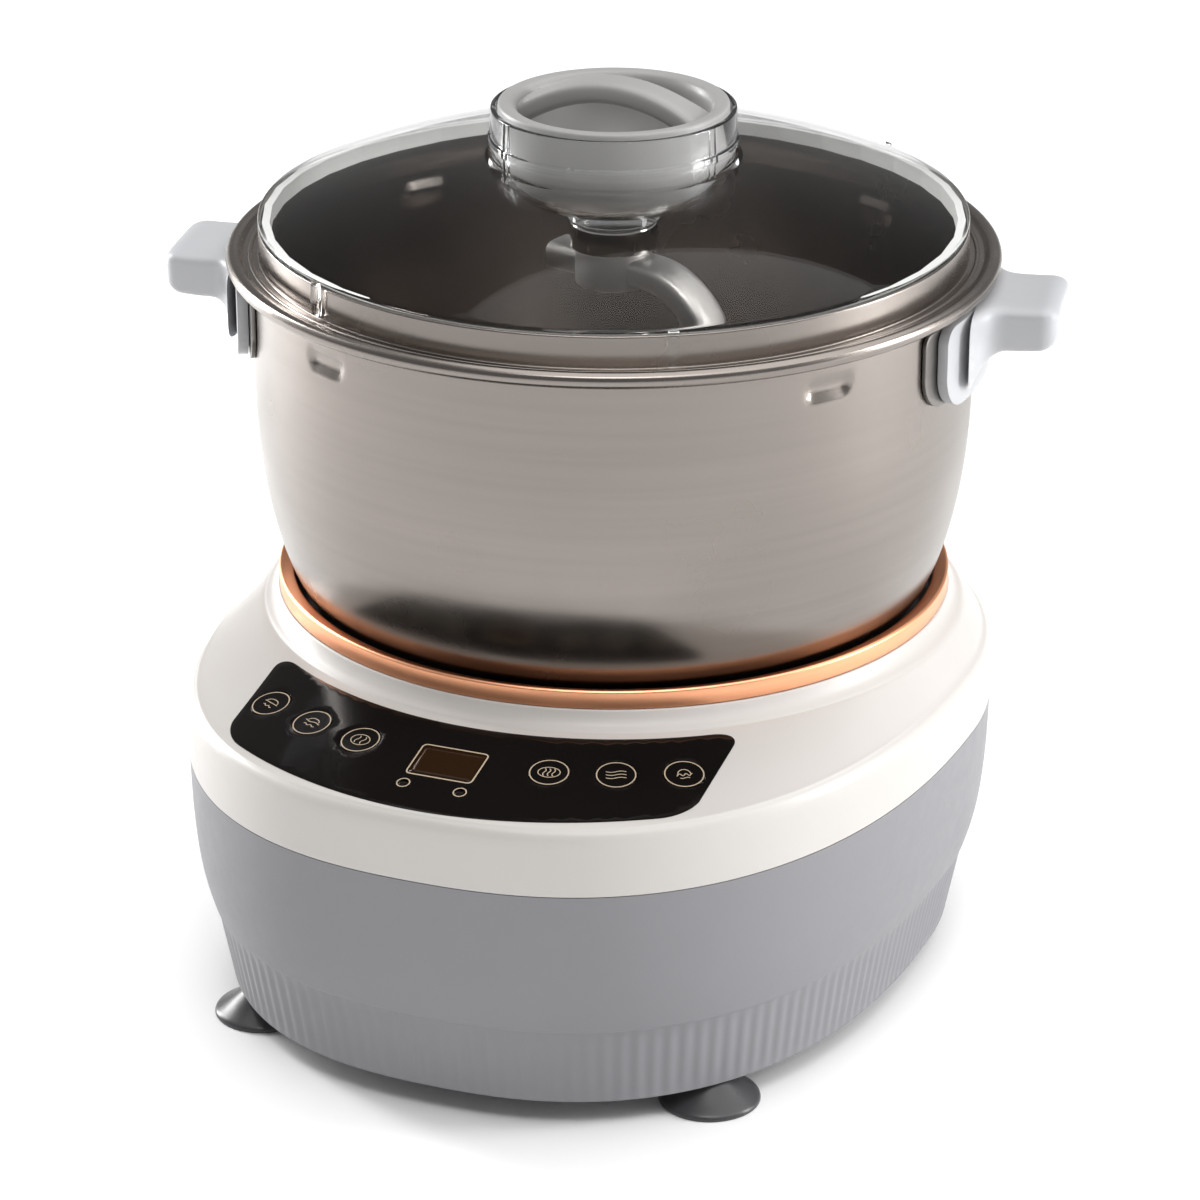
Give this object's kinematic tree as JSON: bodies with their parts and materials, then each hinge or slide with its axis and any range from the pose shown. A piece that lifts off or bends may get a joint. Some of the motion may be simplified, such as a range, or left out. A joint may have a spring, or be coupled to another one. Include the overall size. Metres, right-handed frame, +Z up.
{
  "type": "dough maker",
  "caption": "Countertop dough maker: grey and white drive base with touch-key panel, lift-out steel bowl with side grips, clear lid with grey cap, and a hook driven from below.",
  "frame": {"origin": "on the floor, under the middle of the outer box; the drive axis stands 21 mm behind it", "axes": "+Z is up, -Y is the front with the control panel, and +X is the side on the right of someone who stands in front and faces the panel"},
  "size_m": [0.3052, 0.304, 0.306],
  "materials": {
    "white_shell": "satin off-white moulded shell",
    "grey_shell": "fine-grained grey moulded shell",
    "copper_trim": "brushed copper-coloured metal",
    "bowl_steel": "brushed stainless steel",
    "dark_bracket": "dull stainless strip",
    "polished_steel": "polished steel",
    "pale_grip": "smooth pale grey plastic",
    "cap_grey": "smooth mid-grey plastic",
    "clear_plastic": "very clear moulded plastic",
    "silicone": "translucent silicone",
    "panel_black": "high-gloss near-black",
    "display_amber": "dark amber window",
    "foot_rubber": "smooth grey rubber",
    "hook_cast": "satin casting",
    "inner_metal": "plain sheet and can metal",
    "bronze": "copper windings and bronze",
    "dark_plastic": "dark engineering plastic",
    "board_green": "solder-masked board",
    "belt_rubber": "black rubber"
  },
  "bodies": {
    "base": {"base_plate": "grey_shell", "lower_housing": "grey_shell", "upper_housing": "white_shell", "trim_ring": "copper_trim", "cord_gland": "dark_plastic", "foot_front_left": "foot_rubber", "foot_front_right": "foot_rubber", "foot_rear_left": "foot_rubber", "foot_rear_right": "foot_rubber", "base_screw_1": "inner_metal", "base_screw_2": "inner_metal", "base_screw_3": "inner_metal", "base_screw_4": "inner_metal", "chassis_plate": "inner_metal", "bearing_housing": "hook_cast", "lower_bearing": "polished_steel", "upper_bearing": "polished_steel", "motor_stator": "inner_metal", "drive_belt": "belt_rubber", "heater_pan": "inner_metal", "heating_element": "bronze", "temperature_sensor": "inner_metal", "power_board": "board_green", "control_board": "board_green", "control_fascia": "panel_black", "display_window": "display_amber", "lamp_left": "panel_black", "lamp_right": "panel_black"},
    "drive": {"output_shaft": "polished_steel", "large_pulley": "dark_plastic", "drive_dog": "dark_plastic"},
    "rotor": {"motor_shaft": "polished_steel", "rotor_core": "bronze", "small_pulley": "dark_plastic", "cooling_fan": "dark_plastic"},
    "bowl": {"bowl": "bowl_steel", "bowl_foot_ring": "bowl_steel", "grip_bracket_right": "dark_bracket", "grip_bracket_left": "dark_bracket", "grip_right": "pale_grip", "grip_left": "pale_grip", "spindle_bearing": "bronze", "spindle_seal": "silicone"},
    "spindle": {"spindle": "polished_steel", "driven_dog": "dark_plastic", "dough_hook": "hook_cast", "hook_hub": "polished_steel"},
    "lid": {"lid": "clear_plastic", "lid_seal": "silicone"},
    "cap": {"cap": "cap_grey"},
    "key_1": {"key_1": "panel_black"},
    "key_2": {"key_2": "panel_black"},
    "key_3": {"key_3": "panel_black"},
    "key_4": {"key_4": "panel_black"},
    "key_5": {"key_5": "panel_black"},
    "key_6": {"key_6": "panel_black"}
  },
  "joints": [
    {"name": "bowl_lift", "type": "slide", "parent": "base", "child": "bowl", "axis": [0, 0, 1], "range_m": [0, 0.06]},
    {"name": "lid_lift", "type": "slide", "parent": "bowl", "child": "lid", "axis": [0, 0, 1], "range_m": [0, 0.06]},
    {"name": "cap_lift", "type": "slide", "parent": "lid", "child": "cap", "axis": [0, 0, 1], "range_m": [0, 0.05]},
    {"name": "drive_spin", "type": "hinge", "parent": "base", "child": "drive", "pos_m": [0, 0.021, 0.06], "axis": [0, 0, 1], "continuous": true},
    {"name": "motor_spin", "type": "hinge", "parent": "base", "child": "rotor", "pos_m": [0, -0.071, 0.06], "axis": [0, 0, 1], "continuous": true},
    {"name": "spindle_spin", "type": "hinge", "parent": "bowl", "child": "spindle", "pos_m": [0, 0.021, 0.14], "axis": [0, 0, 1], "continuous": true},
    {"name": "key_1_press", "type": "slide", "parent": "base", "child": "key_1", "axis": [0.1247, 0.2083, -0.9701], "range_m": [0, 0.0006], "stiffness_N_per_m": 900},
    {"name": "key_2_press", "type": "slide", "parent": "base", "child": "key_2", "axis": [0.0829, 0.2042, -0.9754], "range_m": [0, 0.0006], "stiffness_N_per_m": 900},
    {"name": "key_3_press", "type": "slide", "parent": "base", "child": "key_3", "axis": [0.0494, 0.2064, -0.9772], "range_m": [0, 0.0006], "stiffness_N_per_m": 900},
    {"name": "key_4_press", "type": "slide", "parent": "base", "child": "key_4", "axis": [-0.0494, 0.2064, -0.9772], "range_m": [0, 0.0006], "stiffness_N_per_m": 900},
    {"name": "key_5_press", "type": "slide", "parent": "base", "child": "key_5", "axis": [-0.0829, 0.2042, -0.9754], "range_m": [0, 0.0006], "stiffness_N_per_m": 900},
    {"name": "key_6_press", "type": "slide", "parent": "base", "child": "key_6", "axis": [-0.1247, 0.2083, -0.9701], "range_m": [0, 0.0006], "stiffness_N_per_m": 900}
  ],
  "couplings": [
    {"joint": "motor_spin", "follows": "drive_spin", "ratio": 5},
    {"joint": "spindle_spin", "follows": "drive_spin", "ratio": 1}
  ]
}
